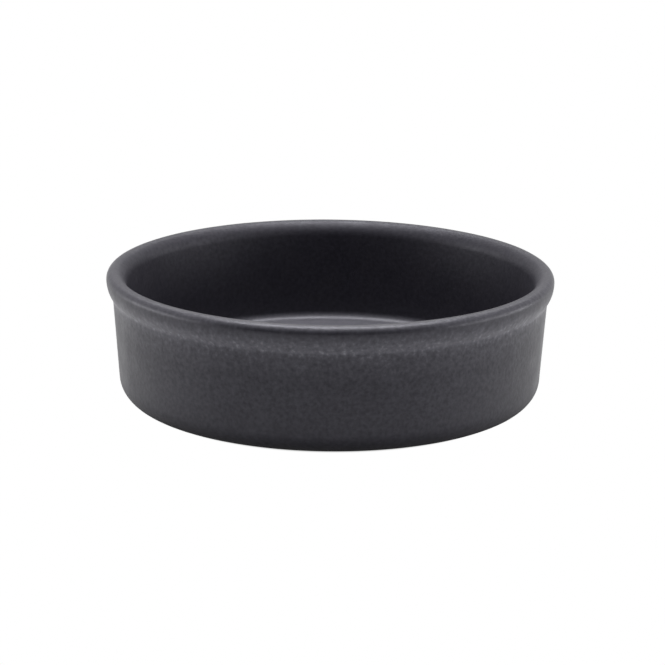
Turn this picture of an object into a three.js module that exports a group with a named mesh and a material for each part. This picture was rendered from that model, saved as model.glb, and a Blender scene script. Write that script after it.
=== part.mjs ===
// Round tapas dish in glazed stoneware: a clay form with a rolled lip and a turned foot ring,
// a glaze that covers it in one skin down to the foot, and a glazed recess underneath.
// Millimetres, +Z up. The origin is the centre of the circle that the foot ring stands on.

import * as THREE from 'three';

// Sizes over the glaze
const RIM_DIAMETER = 145;
const HEIGHT = 43;

// Sizes of the bare clay
const BEAD_RADIUS = 2.2;      // rounding over the top of the lip
const LIP_FACE_RADIUS = 9.1;  // gentle bulge of the lip's outer face
const LIP_INSIDE_RADIUS = 6;  // gentle bulge of the lip's inner face
const LIP_PROUD = 1.65;       // by which the lip stands out from the wall
const COVE_RADIUS = 3.3;      // hollow where the lip turns into the wall
const WALL = 3.85;
const DRAFT = 4.1;            // degrees that the wall leans out
const CORNER_RADIUS = 7.3;    // rounding from wall to underside
const FLOOR_HEIGHT = 8.55;    // top of the inner floor above the table
const FLOOR_FILLET = 3.4;     // hollow between inner wall and floor
const FOOT_HEIGHT = 1.2;
const FOOT_INSET = 2.3;       // from the end of the corner rounding to the foot ring
const FOOT_WIDTH = 5;
const FOOT_EDGE = 0.6;        // rounding of the foot ring's edges
const RECESS_HEIGHT = 3;      // clay above the table inside the foot ring
const RECESS_FILLET = 1.5;

const GLAZE = 0.4;

// The largest distance between a true round and its facets
const CHORD_TOLERANCE = 0.08;

const GRAPHITE_GLAZE = 0x3b3a41;
const FIRED_CLAY = 0x8f8477;

// The profile is a chain of points in the half plane of radius r and height z. Each point keeps
// the unit normal that leaves the clay there, so that the glaze can be laid on along it.
const radians = THREE.MathUtils.degToRad;

function stepsFor(radius, sweep) {
  const widest = 2 * Math.acos(Math.max(0, 1 - CHORD_TOLERANCE / radius));
  return Math.max(2, Math.ceil(Math.abs(sweep) / widest));
}

// A round stretch about a centre. side is 1 where the clay bulges and -1 where it is hollow.
function arc(centre, radius, from, to, side) {
  const steps = stepsFor(radius, to - from);
  return Array.from({ length: steps + 1 }, (_, i) => {
    const angle = from + ((to - from) * i) / steps;
    const out = new THREE.Vector2(Math.cos(angle), Math.sin(angle));
    return {
      point: out.clone().multiplyScalar(radius).add(centre),
      normal: out.clone().multiplyScalar(side),
    };
  });
}

function flat(r, z, up) {
  return { point: new THREE.Vector2(r, z), normal: new THREE.Vector2(0, up) };
}

const QUARTER = Math.PI / 2;
const draft = radians(DRAFT);
const wallOut = new THREE.Vector2(Math.cos(draft), -Math.sin(draft));
const wallUp = new THREE.Vector2(Math.sin(draft), Math.cos(draft));
const rimRadius = RIM_DIAMETER / 2 - GLAZE;
const bead = new THREE.Vector2(rimRadius - BEAD_RADIUS, HEIGHT - GLAZE - BEAD_RADIUS);
const lipFace = new THREE.Vector2(rimRadius - LIP_FACE_RADIUS, bead.y);

// The walls are lines at a distance out from the bead's centre along the wall's normal.
const outerFace = BEAD_RADIUS - LIP_PROUD;
const innerFace = outerFace - WALL;
const radiusAt = (out, z) => bead.x + (out - wallOut.y * (z - bead.y)) / wallOut.x;

// The cove touches the lip's outer face from below and the outer wall from outside.
function coveCentre() {
  const out = outerFace + COVE_RADIUS + wallOut.x * (bead.x - lipFace.x);
  const drop = Math.sqrt((LIP_FACE_RADIUS + COVE_RADIUS) ** 2 - out ** 2);
  return lipFace.clone().addScaledVector(wallOut, out).addScaledVector(wallUp, -drop);
}

// The lip's inner face runs on from the bead's rounding and ends along the inner wall.
function lipInsideCentre() {
  const out = innerFace + LIP_INSIDE_RADIUS;
  const drop = Math.sqrt((LIP_INSIDE_RADIUS - BEAD_RADIUS) ** 2 - out ** 2);
  return bead.clone().addScaledVector(wallOut, out).addScaledVector(wallUp, -drop);
}

// From the floor's centre underneath, out over the recess and round the foot ring
function underside(cornerStart) {
  const footOuter = cornerStart - FOOT_INSET;
  const footInner = footOuter - FOOT_WIDTH;
  const recess = new THREE.Vector2(footInner - RECESS_FILLET, RECESS_HEIGHT - RECESS_FILLET);
  const innerEdge = new THREE.Vector2(footInner + FOOT_EDGE, FOOT_EDGE);
  const outerEdge = new THREE.Vector2(footOuter - FOOT_EDGE, FOOT_EDGE);
  const seat = new THREE.Vector2(footOuter + FOOT_EDGE, FOOT_HEIGHT - FOOT_EDGE);
  return {
    recess: [flat(0, RECESS_HEIGHT, -1), flat(recess.x, RECESS_HEIGHT, -1)],
    foot: [
      ...arc(recess, RECESS_FILLET, QUARTER, 0, -1),
      ...arc(innerEdge, FOOT_EDGE, -2 * QUARTER, -QUARTER, 1),
      ...arc(outerEdge, FOOT_EDGE, -QUARTER, 0, 1),
      ...arc(seat, FOOT_EDGE, 2 * QUARTER, QUARTER, -1),
    ],
  };
}

// From the foot ring up the outside, over the lip and down to the middle of the inner floor
function upperFace(corner, cove, lipInside) {
  const floor = new THREE.Vector2(0, FLOOR_HEIGHT + FLOOR_FILLET);
  floor.x = radiusAt(innerFace - FLOOR_FILLET, floor.y);
  const toCove = Math.atan2(cove.y - lipFace.y, cove.x - lipFace.x);
  const toBead = Math.atan2(bead.y - lipInside.y, bead.x - lipInside.x);
  return [
    ...arc(corner, CORNER_RADIUS, -QUARTER, -draft, 1),
    ...arc(cove, COVE_RADIUS, Math.PI - draft, Math.PI + toCove, -1),
    ...arc(lipFace, LIP_FACE_RADIUS, toCove, 0, 1),
    ...arc(bead, BEAD_RADIUS, 0, QUARTER, 1),
    ...arc(bead, BEAD_RADIUS, QUARTER, toBead, 1),
    ...arc(lipInside, LIP_INSIDE_RADIUS, toBead, Math.PI - draft, 1),
    ...arc(floor, FLOOR_FILLET, -draft, -QUARTER, -1),
    flat(0, FLOOR_HEIGHT, 1),
  ];
}

const corner = new THREE.Vector2(0, FOOT_HEIGHT + CORNER_RADIUS);
corner.x = radiusAt(outerFace - CORNER_RADIUS, corner.y);
const { recess, foot } = underside(corner.x);
const upper = upperFace(corner, coveCentre(), lipInsideCentre());
const footSeat = foot.at(-1);

const clayPoints = (chain) => chain.map(({ point }) => point);
const glazedPoints = (chain) =>
  chain.map(({ point, normal }) => point.clone().addScaledVector(normal, GLAZE));

// A skin of glaze: the chain raised along its normals, and back along the clay. The loop is turned
// so that it starts and ends where it crosses the axis.
function skin(chain) {
  const loop = [...glazedPoints(chain), ...clayPoints(chain).reverse()];
  const start = loop.findIndex((p, i) => p.x === 0 && loop.at(i - 1).x === 0);
  return [...loop.slice(start), ...loop.slice(0, start)];
}

// Two points that fall together would make a facet with no area.
function withoutRepeats(points) {
  const least = CHORD_TOLERANCE / 100;
  return points.filter((p, i) => i === 0 || p.distanceTo(points[i - 1]) > least);
}

const sides = 4 * Math.ceil(Math.PI / Math.acos(1 - (2 * CHORD_TOLERANCE) / RIM_DIAMETER) / 4);

function turned(name, points, colour, roughness) {
  const geometry = new THREE.LatheGeometry(withoutRepeats(points), sides);
  geometry.rotateX(QUARTER);
  const material = new THREE.MeshStandardMaterial({ color: colour, roughness, metalness: 0 });
  const mesh = new THREE.Mesh(geometry, material);
  mesh.name = name;
  return mesh;
}

const dish = new THREE.Group();
dish.name = 'tapas_dish';
dish.add(
  turned('stoneware_body', clayPoints([...recess, ...foot, ...upper]), FIRED_CLAY, 0.85),
  turned('glaze_coat', skin([footSeat, ...upper]), GRAPHITE_GLAZE, 0.45),
  turned('underside_glaze', skin(recess), GRAPHITE_GLAZE, 0.45),
);

export default dish;
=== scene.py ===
"""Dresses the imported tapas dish: a turned stoneware form under a matt graphite glaze."""

import logging
import math
from collections.abc import Mapping, Sequence
from dataclasses import astuple, dataclass
from enum import Enum
from typing import Any, ClassVar

import bpy
from bpy.types import ID, Material, Mesh, Node, NodeSocket, NodeTree, Object, World
from mathutils import Matrix, Vector


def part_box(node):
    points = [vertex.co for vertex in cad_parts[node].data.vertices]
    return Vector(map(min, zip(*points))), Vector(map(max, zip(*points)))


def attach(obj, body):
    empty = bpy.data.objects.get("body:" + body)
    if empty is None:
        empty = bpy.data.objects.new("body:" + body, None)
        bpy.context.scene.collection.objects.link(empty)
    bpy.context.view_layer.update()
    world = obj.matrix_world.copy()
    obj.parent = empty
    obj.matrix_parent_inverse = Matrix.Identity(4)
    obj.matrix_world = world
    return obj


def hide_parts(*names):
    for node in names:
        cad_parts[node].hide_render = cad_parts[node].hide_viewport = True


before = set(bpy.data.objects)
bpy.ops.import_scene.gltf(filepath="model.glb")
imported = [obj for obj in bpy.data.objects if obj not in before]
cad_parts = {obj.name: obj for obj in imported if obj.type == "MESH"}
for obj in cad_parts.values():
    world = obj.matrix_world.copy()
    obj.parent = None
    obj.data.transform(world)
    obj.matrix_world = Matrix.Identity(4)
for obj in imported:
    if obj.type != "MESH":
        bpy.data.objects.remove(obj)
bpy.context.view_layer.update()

log = logging.getLogger("tapas_dish")

MM = 0.001
QUARTER = math.pi / 2

# What feeds a node's input: an output socket, or a node that stands for its first output in use
Feed = Node | NodeSocket


class CadNode(Enum):
    """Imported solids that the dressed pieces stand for."""

    CLAY = "stoneware_body"
    COAT = "glaze_coat"
    UNDERSIDE = "underside_glaze"


class Slot(Enum):
    """Material slots of the record."""

    GLAZE = "graphite_glaze"
    CLAY = "fired_clay"


class Bend(Enum):
    """Which way a round stretch of the profile turns, seen from outside the clay."""

    BULGE = 1
    HOLLOW = -1


class Ray(Enum):
    """Rays to which the stage shows white, by Blender's names."""

    CAMERA = "Is Camera Ray"
    GLOSSY = "Is Glossy Ray"


class Trait(Enum):
    """Values that the profile hands on to the turned surface, as named attributes."""

    OUT = "out"
    COAT = "coat"
    GRAIN = "grain"
    # Painted light and painted reflection: how far the glaze is painted grey.
    PALE = "pale"
    MATT = "matt"

    @property
    def kind(self) -> str:
        """Blender's name of its data type."""
        return "FLOAT_VECTOR" if self is Trait.OUT else "FLOAT"


def linear(code: str) -> tuple[float, float, float, float]:
    """Turns an sRGB hex colour into linear light.

    Args:
        code: Colour such as "#2b2a30".

    Returns:
        Linear red, green and blue, with an alpha of 1.
    """
    shares = [int(code[i : i + 2], 16) / 255 for i in (1, 3, 5)]
    red, green, blue = (s / 12.92 if s <= 0.04045 else ((s + 0.055) / 1.055) ** 2.4 for s in shares)
    return red, green, blue, 1.0


def per_metre(size_mm: float) -> float:
    """Scale of a pattern on metre coordinates whose features are this many millimetres wide."""
    return 1 / (size_mm * MM)


def add_node(
    tree: NodeTree,
    kind: str,
    inputs: Mapping[str, Any] | None = None,
    **settings: Any,
) -> Node:
    """Adds a node with its settings, and fills or links its inputs.

    Args:
        tree: Tree that gets the node.
        kind: Blender's identifier of the node.
        inputs: Identifier of each input, with its value or what feeds it.
        **settings: Properties of the node.

    Returns:
        The new node.
    """
    node = tree.nodes.new(kind)
    for name, value in settings.items():
        setattr(node, name, value)
    sockets = {socket.identifier: socket for socket in node.inputs}
    for identifier, value in (inputs or {}).items():
        if isinstance(value, Node):
            value = next(socket for socket in value.outputs if socket.enabled)
        if isinstance(value, NodeSocket):
            tree.links.new(value, sockets[identifier])
        else:
            sockets[identifier].default_value = value
    return node


def cleared_tree(owner: Material | World) -> NodeTree:
    """Empties the node tree of a material or a world.

    Args:
        owner: The material or the world.

    Returns:
        Its tree.
    """
    owner.use_nodes = True
    owner.node_tree.nodes.clear()
    return owner.node_tree


def add_object(name: str, data: ID) -> Object:
    """Makes an object and links it to the scene.

    Args:
        name: Name of the object.
        data: Mesh, light or camera that it shows.

    Returns:
        The object.
    """
    shown = bpy.data.objects.new(name, data)
    bpy.context.scene.collection.objects.link(shown)
    return shown


@dataclass(frozen=True)
class Lie:
    """How the glaze lies at a place.

    Attributes:
        grain: How pebbled it is, from 0 to 1.
        pale: How far it is painted from graphite to grey, as painted light, from 0 to 1.
        matt: How far its sheen turns from satin to matt, from 0 to 1.
    """

    grain: float
    pale: float = 0.0
    matt: float = 0.0

    def toward(self, other: "Lie", share: float) -> "Lie":
        """How it lies at a share of the way to another place."""
        ends = zip(astuple(self), astuple(other))
        return Lie(*(first + (last - first) * share for first, last in ends))


@dataclass(frozen=True)
class Station:
    """One point of the turned profile.

    Attributes:
        spot: Radius and height in millimetres.
        out: Unit direction that leaves the clay there.
        lie: How the glaze lies there.
        coat: 1 on the glaze's own surface, and 0 elsewhere.
    """

    spot: Vector
    out: Vector
    lie: Lie
    coat: float = 0.0

    def glazed(self, thickness: float) -> "Station":
        """The same station on the surface of a glaze of some thickness."""
        return Station(self.spot + self.out * thickness, self.out, self.lie, coat=1.0)


@dataclass(frozen=True)
class Circle:
    """Circle that a round stretch of the profile lies on, in millimetres, and how the clay bends."""

    centre: Vector
    radius: float
    bend: Bend


@dataclass(frozen=True)
class DishProfile:
    """Half section of the bare clay, in millimetres, as a chain of arcs and straight stretches.

    The glaze is painted grey, as painted light and painted reflection, in the hollow under the lip,
    up the top of the outer wall, over the lip's outer edge and on the floor and its fillet, and a
    little on the inner wall below the lip and above the floor. On the floor it is also smoother and
    glossier.

    Attributes:
        rim: Radius of the clay at the lip.
        top: Height of the clay at the lip.
        step: Spacing of the stations.
        edge_at: Angle on the lip's rounding at which the painted highlight over its outer edge is
            palest.
        painted_light_from: Height from which the outer wall is painted grey as painted reflection, up to
            the hollow.
        more_painted_light_from: Height from which that painted grey gets stronger faster.
        inner_painted_light_from: Height from which the inner wall is painted a little grey, up to the
            lip.
        smooth_and_painted_light_from: Height below which the inner wall gets smoother and painted grey.

    The fields from outside onwards say how the glaze lies, in order along the profile, with its painted
    light.
    """

    rim: float
    top: float
    step: float
    bead_radius: float = 2.2
    lip_face_radius: float = 9.1
    lip_inside_radius: float = 6.0
    lip_proud: float = 1.65
    cove_radius: float = 3.3
    wall: float = 3.85
    draft: float = math.radians(4.1)
    corner_radius: float = 7.3
    floor_height: float = 8.55
    floor_fillet: float = 3.4
    foot_height: float = 1.2
    foot_inset: float = 2.3
    foot_width: float = 5.0
    foot_edge: float = 0.6
    recess_height: float = 3.0
    recess_fillet: float = 1.5
    edge_at: float = math.radians(38)
    painted_light_from: float = 25.0
    more_painted_light_from: float = 32.0
    inner_painted_light_from: float = 29.0
    smooth_and_painted_light_from: float = 17.0
    # The pale values below are painted light and painted reflection, not a change of the glaze.
    outside: Lie = Lie(grain=0.62)
    upper_wall: Lie = Lie(grain=0.85)
    painted_light_wall: Lie = Lie(grain=1.0, pale=0.28)
    below_hollow: Lie = Lie(grain=1.0, pale=0.6)
    hollow: Lie = Lie(grain=1.0, pale=1.0)
    lip: Lie = Lie(grain=0.7, pale=0.11)
    edge: Lie = Lie(grain=0.7, pale=0.36)
    crown: Lie = Lie(grain=0.6)
    below_lip: Lie = Lie(grain=0.6, pale=0.04, matt=1.0)
    inside: Lie = Lie(grain=0.6, matt=1.0)
    above_floor_painted_light: Lie = Lie(grain=0.5, pale=0.12, matt=1.0)
    smooth_floor_painted_light: Lie = Lie(grain=0.3, pale=1.0)

    FEWEST_STEPS: ClassVar[int] = 3

    @property
    def bead(self) -> Vector:
        """Centre of the rounding over the lip."""
        return Vector((self.rim - self.bead_radius, self.top - self.bead_radius))

    @property
    def lip_face(self) -> Vector:
        """Centre of the gentle bulge on the lip's outer face."""
        return Vector((self.rim - self.lip_face_radius, self.bead.y))

    @property
    def wall_out(self) -> Vector:
        """Direction that leaves the outer wall."""
        return Vector((math.cos(self.draft), -math.sin(self.draft)))

    @property
    def outer_face(self) -> float:
        """Distance of the outer wall from the bead's centre, along the wall's normal."""
        return self.bead_radius - self.lip_proud

    @property
    def inner_face(self) -> float:
        """Distance of the inner wall from the bead's centre, along the outer wall's normal."""
        return self.outer_face - self.wall

    @property
    def cove(self) -> Vector:
        """Centre of the hollow that touches the lip's face and the outer wall."""
        out = self.outer_face + self.cove_radius + self.wall_out.x * (self.bead.x - self.lip_face.x)
        return self.below(self.lip_face, self.lip_face_radius + self.cove_radius, out)

    @property
    def lip_inside(self) -> Vector:
        """Centre of the gentle bulge on the lip's inner face, which ends along the inner wall."""
        out = self.inner_face + self.lip_inside_radius
        return self.below(self.bead, self.lip_inside_radius - self.bead_radius, out)

    @property
    def corner(self) -> Vector:
        """Centre of the rounding from the wall to the underside."""
        height = self.foot_height + self.corner_radius
        return Vector((self.radius_at(self.outer_face - self.corner_radius, height), height))

    @property
    def fillet(self) -> Vector:
        """Centre of the hollow between the inner wall and the floor."""
        height = self.floor_height + self.floor_fillet
        return Vector((self.radius_at(self.inner_face - self.floor_fillet, height), height))

    @property
    def foot_outer(self) -> float:
        """Outer radius of the foot ring."""
        return self.corner.x - self.foot_inset

    def below(self, centre: Vector, reach: float, out: float) -> Vector:
        """The point below a centre, at a reach from it, that lies this far out by the wall's normal."""
        drop = math.sqrt(reach**2 - out**2)
        return centre + self.wall_out * out - self.wall_out.orthogonal() * drop

    def radius_at(self, out: float, height: float) -> float:
        """Radius at a height of a line beside the wall, by its distance out from the bead's centre."""
        lean = self.wall_out
        return self.bead.x + (out - lean.y * (height - self.bead.y)) / lean.x

    def on_wall(self, face: float, height: float, out: Vector, lie: Lie) -> Station:
        """A station at some height on the straight stretch of a wall."""
        return Station(Vector((self.radius_at(face, height), height)), out, lie)

    def arc(self, circle: Circle, start: float, stop: float, first: Lie, last: Lie) -> list[Station]:
        """Stations along a round stretch.

        Args:
            circle: Circle that it lies on.
            start: Angle of the first station.
            stop: Angle of the last station.
            first: How the glaze lies at the first station.
            last: How it lies at the last one.

        Returns:
            The stations in order.
        """
        sweep = stop - start
        count = max(self.FEWEST_STEPS, math.ceil(abs(sweep) * circle.radius / self.step))
        stations = []
        for i in range(count + 1):
            share = i / count
            angle = start + sweep * share
            ray = Vector((math.cos(angle), math.sin(angle)))
            spot = circle.centre + ray * circle.radius
            stations.append(Station(spot, ray * circle.bend.value, first.toward(last, share)))
        return stations

    def straightened(self, chain: Sequence[Station], longest: float) -> list[Station]:
        """Fills the straight stretches of a chain with stations.

        Args:
            chain: Stations that may lie far apart.
            longest: Largest distance that is left between two of them.

        Returns:
            The chain with the added stations.
        """
        filled = [chain[0]]
        for last, coming in zip(chain, chain[1:]):
            reach = coming.spot - last.spot
            parts = math.ceil(reach.length / longest)
            for i in range(1, parts):
                share = i / parts
                lie = last.lie.toward(coming.lie, share)
                filled.append(Station(last.spot + reach * share, last.out, lie))
            filled.append(coming)
        return filled

    def recess(self) -> list[Station]:
        """The flat underside within the foot ring.

        Returns:
            Its two ends, from the axis outwards.
        """
        down = Vector((0.0, -1.0))
        edge = self.foot_outer - self.foot_width - self.recess_fillet
        ends = (Vector((radius, self.recess_height)) for radius in (0.0, edge))
        return [Station(spot, down, self.inside) for spot in ends]

    def foot(self) -> list[Station]:
        """The foot ring.

        Returns:
            Stations from the recess round to the seat of the glaze.
        """
        inner = self.foot_outer - self.foot_width
        edge = self.foot_edge
        recess = Vector((inner - self.recess_fillet, self.recess_height - self.recess_fillet))
        seat = Vector((self.foot_outer + edge, self.foot_height - edge))
        inner_edge = Vector((inner + edge, edge))
        outer_edge = Vector((self.foot_outer - edge, edge))
        turns = (
            (Circle(recess, self.recess_fillet, Bend.HOLLOW), QUARTER, 0),
            (Circle(inner_edge, edge, Bend.BULGE), -math.pi, -QUARTER),
            (Circle(outer_edge, edge, Bend.BULGE), -QUARTER, 0),
            (Circle(seat, edge, Bend.HOLLOW), math.pi, QUARTER),
        )
        return [station for turn in turns for station in self.arc(*turn, self.outside, self.outside)]

    def upper(self) -> list[Station]:
        """All that the glaze covers in one skin.

        Returns:
            Stations up the outside, over the lip and down to the middle of the inner floor.
        """
        corner = Circle(self.corner, self.corner_radius, Bend.BULGE)
        cove = Circle(self.cove, self.cove_radius, Bend.HOLLOW)
        lip_face = Circle(self.lip_face, self.lip_face_radius, Bend.BULGE)
        bead = Circle(self.bead, self.bead_radius, Bend.BULGE)
        lip_inside = Circle(self.lip_inside, self.lip_inside_radius, Bend.BULGE)
        fillet = Circle(self.fillet, self.floor_fillet, Bend.HOLLOW)
        to_cove = math.atan2(self.cove.y - self.lip_face.y, self.cove.x - self.lip_face.x)
        to_bead = math.atan2(self.bead.y - self.lip_inside.y, self.bead.x - self.lip_inside.x)
        lean = math.pi - self.draft
        cove_end = math.pi + to_cove
        mid_cove = (lean + cove_end) / 2
        mid_fillet = -QUARTER / 2
        outer, inner = self.outer_face, self.inner_face
        outward, inward = self.wall_out, -self.wall_out
        # The lies carry painted light and painted reflection: grey up the top of the outer wall, in the
        # hollow, over the lip's outer edge, a little on the inner wall, and on the fillet and floor.
        return [
            *self.arc(corner, -QUARTER, -self.draft, self.outside, self.outside),
            self.on_wall(outer, self.painted_light_from, outward, self.upper_wall),
            self.on_wall(outer, self.more_painted_light_from, outward, self.painted_light_wall),
            *self.arc(cove, lean, mid_cove, self.below_hollow, self.hollow),
            *self.arc(cove, mid_cove, cove_end, self.hollow, self.hollow),
            *self.arc(lip_face, to_cove, 0, self.hollow, self.lip),
            *self.arc(bead, 0, self.edge_at, self.lip, self.edge),
            *self.arc(bead, self.edge_at, QUARTER, self.edge, self.crown),
            *self.arc(bead, QUARTER, to_bead, self.crown, self.inside),
            *self.arc(lip_inside, to_bead, lean, self.inside, self.below_lip),
            self.on_wall(inner, self.inner_painted_light_from, inward, self.inside),
            self.on_wall(inner, self.smooth_and_painted_light_from, inward, self.inside),
            *self.arc(fillet, -self.draft, mid_fillet, self.above_floor_painted_light, self.smooth_floor_painted_light),
            *self.arc(fillet, mid_fillet, -QUARTER, self.smooth_floor_painted_light, self.smooth_floor_painted_light),
            Station(Vector((0.0, self.floor_height)), Vector((0.0, 1.0)), self.smooth_floor_painted_light),
        ]


@dataclass(frozen=True)
class Lathe:
    """Turns a profile line into a closed body with Geometry Nodes. Sizes are in millimetres.

    Attributes:
        sides: Facets around the axis.
        sway: Largest distance that the thrown form strays from true.
        sway_width: Width of those strays.
        lay: Largest unevenness of the glaze on top of that.
        lay_width: Width of the uneven patches.
        detail: How much finer noise is laid over both.
        seed: Place in the noise that both are drawn from.
        true_below: Height up to which the form keeps true, so that it stands level.
        free_above: Height from which it strays in full.
        weld: Distance within which points are joined.
    """

    sides: int = 320
    sway: float = 0.08
    sway_width: float = 45.0
    lay: float = 0.02
    lay_width: float = 7.0
    detail: float = 1.0
    seed: float = 4.7
    true_below: float = 2.0
    free_above: float = 12.0
    weld: float = 0.001

    TREE_NAME: ClassVar[str] = "Turning"

    def tree(self) -> NodeTree:
        """The node tree, made on its first use.

        Returns:
            A tree that takes a line of points in the XZ plane and gives the turned body.
        """
        known = bpy.data.node_groups.get(self.TREE_NAME)
        if known:
            return known
        tree = bpy.data.node_groups.new(self.TREE_NAME, "GeometryNodeTree")
        tree.interface.new_socket("Profile", in_out="INPUT", socket_type="NodeSocketGeometry")
        tree.interface.new_socket("Finish", in_out="INPUT", socket_type="NodeSocketMaterial")
        tree.interface.new_socket("Body", in_out="OUTPUT", socket_type="NodeSocketGeometry")
        given = add_node(tree, "NodeGroupInput").outputs
        body = self.strayed(tree, self.revolved(tree, given["Profile"]))
        welded = add_node(
            tree, "GeometryNodeMergeByDistance", {"Geometry": body, "Distance": self.weld * MM}
        )
        smooth = add_node(tree, "GeometryNodeSetShadeSmooth", {"Geometry": welded})
        real = add_node(tree, "GeometryNodeRealizeInstances", {"Geometry": smooth})
        dressed = add_node(
            tree, "GeometryNodeSetMaterial", {"Geometry": real, "Material": given["Finish"]}
        )
        result = add_node(tree, "NodeGroupOutput")
        tree.links.new(dressed.outputs["Geometry"], result.inputs["Body"])
        return tree

    def revolved(self, tree: NodeTree, profile: Feed) -> Node:
        """Lays a grid whose columns are copies of the profile, turned about the axis.

        Args:
            tree: Tree that gets the nodes.
            profile: The line that is turned.

        Returns:
            The node of the turned grid, with the profile's values stored on it.
        """
        size = add_node(tree, "GeometryNodeAttributeDomainSize", {"Geometry": profile})
        rows = size.outputs["Point Count"]
        columns = self.sides + 1
        grid = add_node(tree, "GeometryNodeMeshGrid", {"Vertices X": columns, "Vertices Y": rows})
        index = add_node(tree, "GeometryNodeInputIndex")
        by_rows = {"Value": index, "Value_001": rows}
        row = add_node(tree, "ShaderNodeMath", by_rows, operation="MODULO")
        ratio = add_node(tree, "ShaderNodeMath", by_rows, operation="DIVIDE")
        column = add_node(tree, "ShaderNodeMath", {"Value": ratio}, operation="FLOOR")
        step = math.tau / self.sides
        angle = add_node(
            tree, "ShaderNodeMath", {"Value": column, "Value_001": step}, operation="MULTIPLY"
        )
        source = {"Geometry": profile, "Index": row}
        place = add_node(tree, "GeometryNodeInputPosition")
        spot = add_node(
            tree, "GeometryNodeSampleIndex", {**source, "Value": place}, data_type="FLOAT_VECTOR"
        )
        turned = add_node(
            tree, "ShaderNodeVectorRotate", {"Vector": spot, "Angle": angle}, rotation_type="Z_AXIS"
        )
        body = add_node(
            tree, "GeometryNodeSetPosition", {"Geometry": grid.outputs["Mesh"], "Position": turned}
        )
        for trait in Trait:
            named = add_node(
                tree, "GeometryNodeInputNamedAttribute", {"Name": trait.value}, data_type=trait.kind
            )
            value = add_node(
                tree, "GeometryNodeSampleIndex", {**source, "Value": named}, data_type=trait.kind
            )
            if trait is Trait.OUT:
                value = add_node(
                    tree,
                    "ShaderNodeVectorRotate",
                    {"Vector": value, "Angle": angle},
                    rotation_type="Z_AXIS",
                )
            body = add_node(
                tree,
                "GeometryNodeStoreNamedAttribute",
                {"Geometry": body, "Name": trait.value, "Value": value},
                data_type=trait.kind,
            )
        return body

    def strayed(self, tree: NodeTree, body: Feed) -> Node:
        """Moves the turned surface a little off true, as a fired and glazed form is.

        Args:
            tree: Tree that gets the nodes.
            body: The true body.

        Returns:
            The node of the moved body.
        """
        place = add_node(tree, "GeometryNodeInputPosition")
        height = add_node(tree, "ShaderNodeSeparateXYZ", {"Vector": place}).outputs["Z"]
        low, high = self.true_below * MM, self.free_above * MM
        free = add_node(
            tree,
            "ShaderNodeMapRange",
            {"Value": height, "From Min": low, "From Max": high},
            interpolation_type="SMOOTHSTEP",
        )
        coat, out = (
            add_node(
                tree, "GeometryNodeInputNamedAttribute", {"Name": trait.value}, data_type=trait.kind
            )
            for trait in (Trait.COAT, Trait.OUT)
        )
        for share, most, width in (
            (free, self.sway * MM, self.sway_width),
            (coat, self.lay * MM, self.lay_width),
        ):
            noise = add_node(
                tree,
                "ShaderNodeTexNoise",
                {"Vector": place, "W": self.seed, "Scale": per_metre(width), "Detail": self.detail},
                noise_dimensions="4D",
            )
            stray = add_node(
                tree, "ShaderNodeMapRange", {"Value": noise, "To Min": -most, "To Max": most}
            )
            distance = add_node(
                tree, "ShaderNodeMath", {"Value": share, "Value_001": stray}, operation="MULTIPLY"
            )
            offset = add_node(
                tree, "ShaderNodeVectorMath", {"Vector": out, "Scale": distance}, operation="SCALE"
            )
            body = add_node(tree, "GeometryNodeSetPosition", {"Geometry": body, "Offset": offset})
        return body

    def line_mesh(self, name: str, line: Sequence[Station]) -> Mesh:
        """Makes the line that the tree turns, with the values that it hands on.

        Args:
            name: Name of the mesh.
            line: Stations from axis to axis.

        Returns:
            A mesh of points and edges in the XZ plane, in metres.
        """
        points = [(station.spot.x * MM, 0.0, station.spot.y * MM) for station in line]
        edges = [(i, i + 1) for i in range(len(points) - 1)]
        mesh = bpy.data.meshes.new(name)
        mesh.from_pydata(points, edges, [])
        handed_on = {
            Trait.OUT: [part for station in line for part in (station.out.x, 0.0, station.out.y)],
            Trait.COAT: [station.coat for station in line],
            Trait.GRAIN: [station.lie.grain for station in line],
            Trait.PALE: [station.lie.pale for station in line],
            Trait.MATT: [station.lie.matt for station in line],
        }
        for trait, flat in handed_on.items():
            field = "vector" if trait is Trait.OUT else "value"
            mesh.attributes.new(trait.value, trait.kind, "POINT").data.foreach_set(field, flat)
        return mesh

    def turn(self, name: str, line: Sequence[Station], finish: Material) -> Object:
        """Turns a line of stations into a plain mesh object.

        Args:
            name: Name of the piece.
            line: Stations from axis to axis. The body lies on the left of the line.
            finish: Material of the piece.

        Returns:
            The piece, at the origin, without modifiers.
        """
        mesh = self.line_mesh(name, line)
        piece = add_object(name, mesh)
        modifier = piece.modifiers.new(self.TREE_NAME, "NODES")
        modifier.node_group = self.tree()
        modifier[modifier.node_group.interface.items_tree["Finish"].identifier] = finish
        graph = bpy.context.evaluated_depsgraph_get()
        turned = bpy.data.meshes.new_from_object(
            piece.evaluated_get(graph), preserve_all_data_layers=True, depsgraph=graph
        )
        piece.modifiers.clear()
        piece.data = turned
        bpy.data.meshes.remove(mesh)
        turned.name = name
        return piece


@dataclass(frozen=True)
class GlazeFields:
    """What the looks of the glaze are mixed from: two noises, and how the glaze lies."""

    clouds: Feed
    pebbles: Feed
    grain: Feed
    # pale is the painted light and painted reflection that the profile hands on.
    pale: Feed
    matt: Feed


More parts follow.
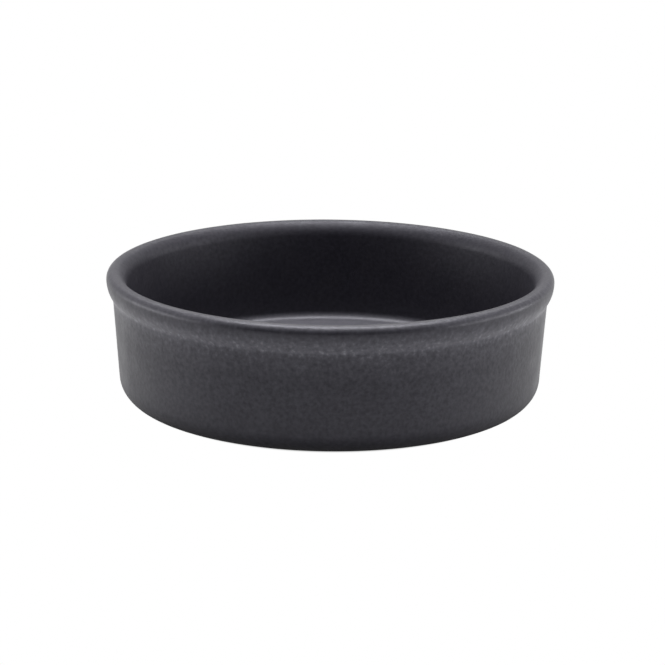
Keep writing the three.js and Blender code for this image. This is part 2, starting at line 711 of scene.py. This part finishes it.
@dataclass(frozen=True)
class GraphiteGlaze:
    """Matt graphite stoneware glaze, sprayed on and fired.

    The real glaze is a dark, iron-rich glass full of fine crystals. It gives the eye a nearly
    black, faintly blue body, a soft broad sheen that turns pale at grazing angles, a pebbled skin
    and cool and warm clouds. A grey is painted over it as painted light and painted reflection, and
    the pits are painted darker and the pebble tops lighter, as painted shade and painted highlight.

    Attributes:
        cool: Colour where the glaze lay thick.
        warm: Colour where it lay thinner.
        painted_light_grey: Grey painted over the glaze as painted light and painted reflection.
        fleck: Colour of the crystals that stand out on the pebbles where the painted light is strong.
        sheen_tint: Tint of the reflections.
        rough_swing: Roughness that the clouds take away or add.
        matt_gain: Roughness that is added where the sheen is matt.
        cloud_width: Width of the clouds, in millimetres.
        cloud_span: Values of their noise at which the roughness is least and most.
        pebble_width: Width of the pebbles. Real ones are about 0.3 mm, which is under a pixel,
            so that they are drawn four times as wide to show.
        pebble_height: Height of the pebbles.
        pebble_span: Values of their noise in the pits and on the tops.
        crystal_span: Values of the same noise between which a crystal comes to stand out.
        crystal_power: Power by which the crystals keep to where the painted light is strongest.
        pebble_painted_shade: Share by which colour and gloss are painted darker in the pits and
        lighter on the pebbles, as painted shade and painted highlight.
        gloss: Blender's level of the reflections, where 0.5 is what the IOR gives.
    """

    cool: str = "#1b1a23"
    warm: str = "#1e1b23"
    painted_light_grey: str = "#57565d"
    fleck: str = "#828188"
    sheen_tint: str = "#f6f5ff"
    ior: float = 1.52
    roughness: float = 0.42
    rough_swing: float = 0.05
    matt_gain: float = 0.1
    cloud_width: float = 9.0
    cloud_detail: float = 3.0
    cloud_span: tuple[float, float] = (0.3, 0.7)
    pebble_width: float = 1.3
    pebble_height: float = 0.08
    pebble_detail: float = 2.0
    pebble_span: tuple[float, float] = (0.25, 0.75)
    crystal_span: tuple[float, float] = (0.58, 0.82)
    crystal_power: float = 2.0
    pebble_painted_shade: float = 0.28
    gloss: float = 0.5

    NAME: ClassVar[str] = "matt_graphite_glaze"

    def fields(self, tree: NodeTree) -> GlazeFields:
        """Reads Object coordinates and how the glaze lies on the surface.

        Args:
            tree: Tree that gets the nodes.

        Returns:
            What the looks are mixed from.
        """
        place = add_node(tree, "ShaderNodeTexCoord").outputs["Object"]
        grain, pale, matt = (
            add_node(tree, "ShaderNodeAttribute", attribute_name=trait.value).outputs["Fac"]
            for trait in (Trait.GRAIN, Trait.PALE, Trait.MATT)
        )
        clouds = add_node(
            tree,
            "ShaderNodeTexNoise",
            {"Vector": place, "Scale": per_metre(self.cloud_width), "Detail": self.cloud_detail},
        )
        pebbles = add_node(
            tree,
            "ShaderNodeTexNoise",
            {"Vector": place, "Scale": per_metre(self.pebble_width), "Detail": self.pebble_detail},
        )
        return GlazeFields(clouds, pebbles, grain, pale, matt)

    def shade(self, tree: NodeTree, fields: GlazeFields) -> Node:
        """How bright the pits and the pebbles are as painted shade and painted highlight, where 1 is
        even.

        Args:
            tree: Tree that gets the nodes.
            fields: What the looks are mixed from.

        Returns:
            The node of that value.
        """
        pit, top = self.pebble_span
        tone = add_node(
            tree,
            "ShaderNodeMapRange",
            {
                "Value": fields.pebbles,
                "From Min": pit,
                "From Max": top,
                "To Min": 1 - self.pebble_painted_shade,
                "To Max": 1 + self.pebble_painted_shade,
            },
        )
        return add_node(
            tree, "ShaderNodeMix", {"Factor_Float": fields.grain, "A_Float": 1.0, "B_Float": tone}
        )

    def colour(self, tree: NodeTree, fields: GlazeFields, shade: Feed) -> Node:
        """Cloudy graphite under a painted grey of light and reflection, with painted shade in the pits,
        painted highlight on the pebbles and crystals where the painted light is strong.

        Args:
            tree: Tree that gets the nodes.
            fields: What the looks are mixed from.
            shade: Painted shade in the pits and painted highlight on the pebbles.

        Returns:
            The node of the colour.
        """
        cool, warm = linear(self.cool), linear(self.warm)
        tint = add_node(
            tree,
            "ShaderNodeMix",
            {"Factor_Float": fields.clouds, "A_Color": cool, "B_Color": warm},
            data_type="RGBA",
        )
        # Grey painted over the tint by the pale value: painted light and painted reflection.
        painted_light_tint = add_node(
            tree,
            "ShaderNodeMix",
            {"Factor_Float": fields.pale, "A_Color": tint, "B_Color": linear(self.painted_light_grey)},
            data_type="RGBA",
        )
        # Painted shade in the pits and painted highlight on the pebble tops.
        painted_pebble_shading = add_node(
            tree, "ShaderNodeVectorMath", {"Vector": painted_light_tint, "Scale": shade}, operation="SCALE"
        )
        start, full = self.crystal_span
        crest = add_node(
            tree, "ShaderNodeMapRange", {"Value": fields.pebbles, "From Min": start, "From Max": full}
        )
        # dry here is the grain times the painted light, and the crystals follow it.
        dry = add_node(
            tree,
            "ShaderNodeMath",
            {"Value": fields.grain, "Value_001": fields.pale},
            operation="MULTIPLY",
        )
        painted_light_crystal_mask = add_node(
            tree, "ShaderNodeMath", {"Value": dry, "Value_001": self.crystal_power}, operation="POWER"
        )
        flecked = add_node(
            tree, "ShaderNodeMath", {"Value": crest, "Value_001": painted_light_crystal_mask}, operation="MULTIPLY"
        )
        return add_node(
            tree,
            "ShaderNodeMix",
            {"Factor_Float": flecked, "A_Color": painted_pebble_shading, "B_Color": linear(self.fleck)},
            data_type="RGBA",
        )

    def dullness(self, tree: NodeTree, fields: GlazeFields) -> Node:
        """Roughness that differs between the clouds and gains where the sheen is matt.

        Args:
            tree: Tree that gets the nodes.
            fields: What the looks are mixed from.

        Returns:
            The node of the roughness.
        """
        least, most = self.cloud_span
        satin = add_node(
            tree,
            "ShaderNodeMapRange",
            {
                "Value": fields.clouds,
                "From Min": least,
                "From Max": most,
                "To Min": self.roughness - self.rough_swing,
                "To Max": self.roughness + self.rough_swing,
            },
        )
        return add_node(
            tree,
            "ShaderNodeMath",
            {"Value": fields.matt, "Value_001": self.matt_gain, "Value_002": satin},
            operation="MULTIPLY_ADD",
        )

    def material(self) -> Material:
        """The glaze as a material, made on its first use.

        Returns:
            A material that reads Object coordinates and how the glaze lies on the surface.
        """
        known = bpy.data.materials.get(self.NAME)
        if known:
            return known
        material = bpy.data.materials.new(self.NAME)
        tree = cleared_tree(material)
        fields = self.fields(tree)
        shade = self.shade(tree, fields)
        # The reflections are painted weaker in the pits and stronger on the pebble tops too.
        gloss = add_node(
            tree, "ShaderNodeMath", {"Value": shade, "Value_001": self.gloss}, operation="MULTIPLY"
        )
        height = add_node(
            tree,
            "ShaderNodeMath",
            {"Value": fields.pebbles, "Value_001": fields.grain},
            operation="MULTIPLY",
        )
        relief = add_node(
            tree, "ShaderNodeBump", {"Height": height, "Distance": self.pebble_height * MM}
        )
        shader = add_node(
            tree,
            "ShaderNodeBsdfPrincipled",
            {
                "Base Color": self.colour(tree, fields, shade),
                "Roughness": self.dullness(tree, fields),
                "IOR": self.ior,
                "Specular IOR Level": gloss,
                "Specular Tint": linear(self.sheen_tint),
                "Normal": relief,
            },
        )
        add_node(tree, "ShaderNodeOutputMaterial", {"Surface": shader})
        return material


@dataclass(frozen=True)
class FiredClay:
    """Bare stoneware, fired and wiped clean of glaze.

    The real clay is a dense buff grey body with sand in it. It gives the eye a dry, dull face with
    darker patches, dark grit and small pits where the foot was turned.

    Attributes:
        body: Colour of the clay.
        scorched: Colour where the kiln took it darker.
        grit: Colour of the dark sand grains.
        cloud_width: Width of the scorched patches, in millimetres.
        grit_width: Width of the grains.
        grit_span: Values of their noise between which a grain comes to stand out.
        pit_depth: Depth of the pits.
    """

    body: str = "#9c9081"
    scorched: str = "#83776a"
    grit: str = "#4d463e"
    roughness: float = 0.85
    cloud_width: float = 14.0
    cloud_detail: float = 4.0
    grit_width: float = 0.7
    grit_detail: float = 2.0
    grit_span: tuple[float, float] = (0.6, 0.75)
    pit_depth: float = 0.06

    NAME: ClassVar[str] = "fired_stoneware_clay"

    def material(self) -> Material:
        """The bare clay as a material.

        Returns:
            A material that reads Object coordinates.
        """
        material = bpy.data.materials.new(self.NAME)
        tree = cleared_tree(material)
        place = add_node(tree, "ShaderNodeTexCoord").outputs["Object"]
        clouds = add_node(
            tree,
            "ShaderNodeTexNoise",
            {"Vector": place, "Scale": per_metre(self.cloud_width), "Detail": self.cloud_detail},
        )
        sand = add_node(
            tree,
            "ShaderNodeTexNoise",
            {"Vector": place, "Scale": per_metre(self.grit_width), "Detail": self.grit_detail},
        )
        tone = add_node(
            tree,
            "ShaderNodeMix",
            {"Factor_Float": clouds, "A_Color": linear(self.body), "B_Color": linear(self.scorched)},
            data_type="RGBA",
        )
        start, full = self.grit_span
        grains = add_node(
            tree, "ShaderNodeMapRange", {"Value": sand, "From Min": start, "From Max": full}
        )
        colour = add_node(
            tree,
            "ShaderNodeMix",
            {"Factor_Float": grains, "A_Color": tone, "B_Color": linear(self.grit)},
            data_type="RGBA",
        )
        relief = add_node(tree, "ShaderNodeBump", {"Height": sand, "Distance": self.pit_depth * MM})
        shader = add_node(
            tree,
            "ShaderNodeBsdfPrincipled",
            {"Base Color": colour, "Roughness": self.roughness, "Normal": relief},
        )
        add_node(tree, "ShaderNodeOutputMaterial", {"Surface": shader})
        return material


@dataclass(frozen=True)
class TapasDish:
    """The dish: its clay form, the glaze over it and the glaze under its foot.

    Attributes:
        fine: Spacing of the stations on surfaces that show, in millimetres.
        coarse: Spacing on surfaces that lie against another piece.
        straight: Largest spacing on straight stretches that show.
        hidden_straight: Largest spacing on those of the clay, most of which the glaze hides.
        cap_steps: Facets round the glaze's edge.
    """

    fine: float = 0.22
    coarse: float = 0.9
    straight: float = 1.5
    hidden_straight: float = 6.0
    cap_steps: int = 8
    lathe: Lathe = Lathe()
    glaze: GraphiteGlaze = GraphiteGlaze()
    clay: FiredClay = FiredClay()

    BODY: ClassVar[str] = "root"

    def profile(self, step: float) -> DishProfile:
        """The clay's profile with stations at a spacing, its rim and top read from the frame."""
        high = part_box(CadNode.CLAY.value)[1]
        return DishProfile(rim=high.x / MM, top=high.z / MM, step=step)

    def thickness(self) -> float:
        """Thickness of the glaze in millimetres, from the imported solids."""
        return (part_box(CadNode.COAT.value)[1].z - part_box(CadNode.CLAY.value)[1].z) / MM

    def skin(self, hidden: Sequence[Station], shown: Sequence[Station]) -> list[Station]:
        """A layer of glaze with a rounded edge.

        Args:
            hidden: Stations on the clay, from the axis to the glaze's edge.
            shown: The same stretch from the edge back to the axis, still on the clay.

        Returns:
            The line round the layer.
        """
        thickness = self.thickness()
        half = thickness / 2
        edge = shown[0]
        middle = edge.spot + edge.out * half
        past = Vector((edge.out.y, -edge.out.x))
        if past.dot(shown[1].spot - edge.spot) > 0:
            past = -past
        cap = []
        for i in range(1, self.cap_steps):
            angle = -QUARTER + math.pi * i / self.cap_steps
            ray = past * math.cos(angle) + edge.out * math.sin(angle)
            cap.append(Station(middle + ray * half, edge.out, edge.lie))
        return [*hidden, *cap, *(station.glazed(thickness) for station in shown)]

    def glaze_skin(self) -> Object:
        """The main coat of glaze.

        Returns:
            A skin from the foot up the outside, over the lip and across the inside.
        """
        rough = self.profile(self.coarse).upper()
        fine = self.profile(self.fine)
        hidden = [*reversed(rough)]
        shown = fine.straightened(fine.upper(), self.straight)
        return self.lathe.turn("glaze_skin", self.skin(hidden, shown), self.glaze.material())

    def recess_glaze(self) -> Object:
        """The glaze under the dish.

        Returns:
            A disc on the flat recess within the foot ring.
        """
        fine = self.profile(self.fine)
        flat = fine.straightened(fine.recess(), self.straight)
        line = [*reversed(self.skin(flat, [*reversed(flat)]))]
        return self.lathe.turn("recess_glaze", line, self.glaze.material())

    def clay_form(self) -> Object:
        """The clay.

        Returns:
            A solid of which only the foot ring shows.
        """
        rough = self.profile(self.coarse)
        fine = self.profile(self.fine)
        chain = [*rough.recess(), *fine.foot(), *rough.upper()]
        line = rough.straightened(chain, self.hidden_straight)
        return self.lathe.turn("clay_form", line, self.clay.material())

    def build(self) -> None:
        """Makes the pieces, gives each one its body and hides the solid it stands for."""
        made = (
            (self.clay_form(), CadNode.CLAY, Slot.CLAY),
            (self.glaze_skin(), CadNode.COAT, Slot.GLAZE),
            (self.recess_glaze(), CadNode.UNDERSIDE, Slot.GLAZE),
        )
        for piece, node, slot in made:
            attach(piece, self.BODY)
            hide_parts(node.value)
            log.info("%s: %d faces", piece.name, len(piece.data.polygons))


@dataclass(frozen=True)
class Panel:
    """A soft oblong lamp that faces the dish.

    Attributes:
        azimuth: Direction that it stands in, in degrees from the back towards the right.
        elevation: Its height above the horizon, in degrees.
        distance: From the middle of the dish, in metres.
        width: Its width in metres.
        height: Its height in metres.
        level: Its brightness, where 1 is white.
    """

    name: str
    azimuth: float
    elevation: float
    distance: float
    width: float
    height: float
    level: float

    def build(self) -> None:
        """Hangs the lamp so that it looks at the middle of the dish."""
        light = bpy.data.lights.new(self.name, "AREA")
        light.shape = "RECTANGLE"
        light.size = self.width
        light.size_y = self.height
        light.energy = self.level * math.pi * self.width * self.height
        turn = math.radians(self.azimuth)
        rise = math.radians(self.elevation)
        away = Vector((math.sin(turn) * math.cos(rise), math.cos(turn) * math.cos(rise), math.sin(rise)))
        lamp = add_object(self.name, light)
        lamp.location = away * self.distance
        lamp.rotation_euler = away.to_track_quat("Z", "Y").to_euler()
        lamp.visible_camera = False


@dataclass(frozen=True)
class Studio:
    """A pale floor, soft lamps, a white surround and a dark card on the camera's side.

    Sizes are in metres.

    Attributes:
        floor_half: Half of the floor's side.
        floor_colour: Colour of the floor.
        seen_white: Distances from the dish's axis between which the floor turns from its colour to
            white, where the camera sees it.
        mirrored_white: The same, where the dish mirrors it.
        clear_within: Distance from the axis within which the floor is clear. The foot hides that
            part from above, and light comes through it when the underside is looked at.
        surround_colour: Colour of the surround, and of the floor where it is white.
        surround_shown: Level of the surround where it shows.
        surround_fill: Level at which it lights.
        card_width: Width of the dark card.
        card_height: Its height.
        card_distance: How far it stands from the dish's axis.
        card_colour: Its colour.
        panels: The lamps.
    """

    floor_half: float = 4.0
    floor_colour: str = "#c0c0c0"
    seen_white: tuple[float, float] = (0.0578, 0.0614)
    mirrored_white: tuple[float, float] = (0.057, 0.094)
    clear_within: float = 0.0573
    surround_colour: str = "#ffffff"
    surround_shown: float = 0.7
    surround_fill: float = 0.1
    card_width: float = 1.7
    card_height: float = 0.42
    card_distance: float = 0.42
    card_colour: str = "#0c0c0c"
    panels: tuple[Panel, ...] = (
        Panel("softbox", azimuth=0, elevation=85, distance=1.0, width=0.9, height=0.4, level=11.8),
        Panel("back_panel", azimuth=0, elevation=48, distance=1.1, width=1.3, height=0.36, level=2.6),
        Panel("left_panel", azimuth=-88, elevation=7, distance=1.0, width=0.9, height=0.23, level=4.5),
        Panel("right_panel", azimuth=95, elevation=7, distance=1.0, width=1.1, height=0.23, level=4.7),
    )

    def plate(self, name: str, corners: Sequence[tuple[float, ...]], material: Material) -> Object:
        """Makes a flat stage object.

        Args:
            name: Name of the object.
            corners: Its four corners, counterclockwise from its front.
            material: Its material.

        Returns:
            The object.
        """
        mesh = bpy.data.meshes.new(name)
        mesh.from_pydata(corners, [], [tuple(range(len(corners)))])
        mesh.materials.append(material)
        plate = add_object(name, mesh)
        return plate

    def floor_paint(self) -> Material:
        """The floor's material, which is clear from below and under the dish.

        Returns:
            A material that turns white away from the dish, sooner where the camera sees it.
        """
        material = bpy.data.materials.new("pale_floor")
        tree = cleared_tree(material)
        place = add_node(tree, "ShaderNodeNewGeometry").outputs
        rays = add_node(tree, "ShaderNodeLightPath").outputs
        reach = add_node(
            tree, "ShaderNodeVectorMath", {"Vector": place["Position"]}, operation="LENGTH"
        )
        seen, mirrored = (
            add_node(
                tree,
                "ShaderNodeMapRange",
                {"Value": reach, "From Min": start, "From Max": stop, "To Max": rays[ray.value]},
                interpolation_type="SMOOTHSTEP",
            )
            for ray, (start, stop) in (
                (Ray.CAMERA, self.seen_white),
                (Ray.GLOSSY, self.mirrored_white),
            )
        )
        whiteness = add_node(
            tree, "ShaderNodeMath", {"Value": seen, "Value_001": mirrored}, operation="ADD"
        )
        paint = add_node(tree, "ShaderNodeBsdfDiffuse", {"Color": linear(self.floor_colour)})
        white = add_node(tree, "ShaderNodeEmission", {"Color": linear(self.surround_colour)})
        above = add_node(
            tree, "ShaderNodeMixShader", {"Fac": whiteness, "Shader": paint, "Shader_001": white}
        )
        covered = add_node(
            tree,
            "ShaderNodeMath",
            {"Value": reach, "Value_001": self.clear_within},
            operation="LESS_THAN",
        )
        through = add_node(
            tree,
            "ShaderNodeMath",
            {"Value": place["Backfacing"], "Value_001": covered},
            operation="MAXIMUM",
        )
        clear = add_node(tree, "ShaderNodeBsdfTransparent")
        surface = add_node(
            tree, "ShaderNodeMixShader", {"Fac": through, "Shader": above, "Shader_001": clear}
        )
        add_node(tree, "ShaderNodeOutputMaterial", {"Surface": surface})
        return material

    def floor(self) -> None:
        """Lays the pale floor that the dish stands on."""
        half = self.floor_half
        corners = [(-half, -half, 0), (half, -half, 0), (half, half, 0), (-half, half, 0)]
        self.plate("floor", corners, self.floor_paint())

    def card(self) -> None:
        """Stands a dark card on the camera's side, which only reflections show."""
        half = self.card_width / 2
        near = -self.card_distance
        high = self.card_height
        corners = [(half, near, 0), (-half, near, 0), (-half, near, high), (half, near, high)]
        material = bpy.data.materials.new("dark_card")
        tree = cleared_tree(material)
        shader = add_node(
            tree, "ShaderNodeBsdfPrincipled", {"Base Color": linear(self.card_colour), "Roughness": 1.0}
        )
        add_node(tree, "ShaderNodeOutputMaterial", {"Surface": shader})
        plate = self.plate("dark_card", corners, material)
        plate.visible_camera = plate.visible_diffuse = plate.visible_shadow = False

    def surround(self) -> None:
        """Makes the world white where it shows, and a dimmer fill where it lights."""
        world = bpy.data.worlds.new("surround")
        tree = cleared_tree(world)
        rays = add_node(tree, "ShaderNodeLightPath").outputs
        shows = add_node(
            tree,
            "ShaderNodeMath",
            {"Value": rays[Ray.CAMERA.value], "Value_001": rays[Ray.GLOSSY.value]},
            operation="MAXIMUM",
        )
        level = add_node(
            tree,
            "ShaderNodeMapRange",
            {"Value": shows, "To Min": self.surround_fill, "To Max": self.surround_shown},
        )
        white = add_node(
            tree, "ShaderNodeBackground", {"Color": linear(self.surround_colour), "Strength": level}
        )
        add_node(tree, "ShaderNodeOutputWorld", {"Surface": white})
        bpy.context.scene.world = world

    def build(self) -> None:
        """Sets the stage and the plain view transform."""
        self.floor()
        self.card()
        self.surround()
        for panel in self.panels:
            panel.build()
        bpy.context.scene.view_settings.view_transform = "Standard"
        log.info("stage: floor, card, surround and %d lamps", len(self.panels))


@dataclass(frozen=True)
class Viewpoint:
    """Where the photograph was taken from.

    Attributes:
        target_height: Height on the dish's axis that the distance is measured to, in millimetres.
        aim_right: How far the picture's centre lies to the right of that point.
        aim_down: How far it lies below that point.
        distance: From the camera to that point.
        elevation: Of the camera above the horizon.
        roll: By which the camera's right side is raised.
        lens: Focal length on a sensor of Blender's standard width.
    """

    target_height: float = 21.7
    aim_right: float = 0.834
    aim_down: float = 0.203
    distance: float = 896.8
    elevation: float = math.radians(15.437)
    roll: float = math.radians(0.574)
    lens: float = 148.795

    def build(self) -> None:
        """Makes the camera and gives it to the scene."""
        back = Vector((0.0, -math.cos(self.elevation), math.sin(self.elevation)))
        level = Vector((1.0, 0.0, 0.0))
        upright = back.cross(level)
        right = level * math.cos(self.roll) + upright * math.sin(self.roll)
        up = back.cross(right)
        target = Vector((0.0, 0.0, self.target_height))
        spot = target + right * self.aim_right - up * self.aim_down + back * self.distance
        turn = Matrix((right, up, back)).transposed().to_4x4()
        data = bpy.data.cameras.new("camera")
        data.lens = self.lens
        camera = add_object("camera", data)
        camera.matrix_world = Matrix.Translation(spot * MM) @ turn
        bpy.context.scene.camera = camera
        log.info("camera: %.1f degrees above the horizon", math.degrees(self.elevation))


def main() -> None:
    """Builds the camera, the stage and the dish."""
    logging.basicConfig(level=logging.INFO, format="%(name)s: %(message)s")
    Viewpoint().build()
    Studio().build()
    TapasDish().build()


if __name__ == "__main__":
    main()
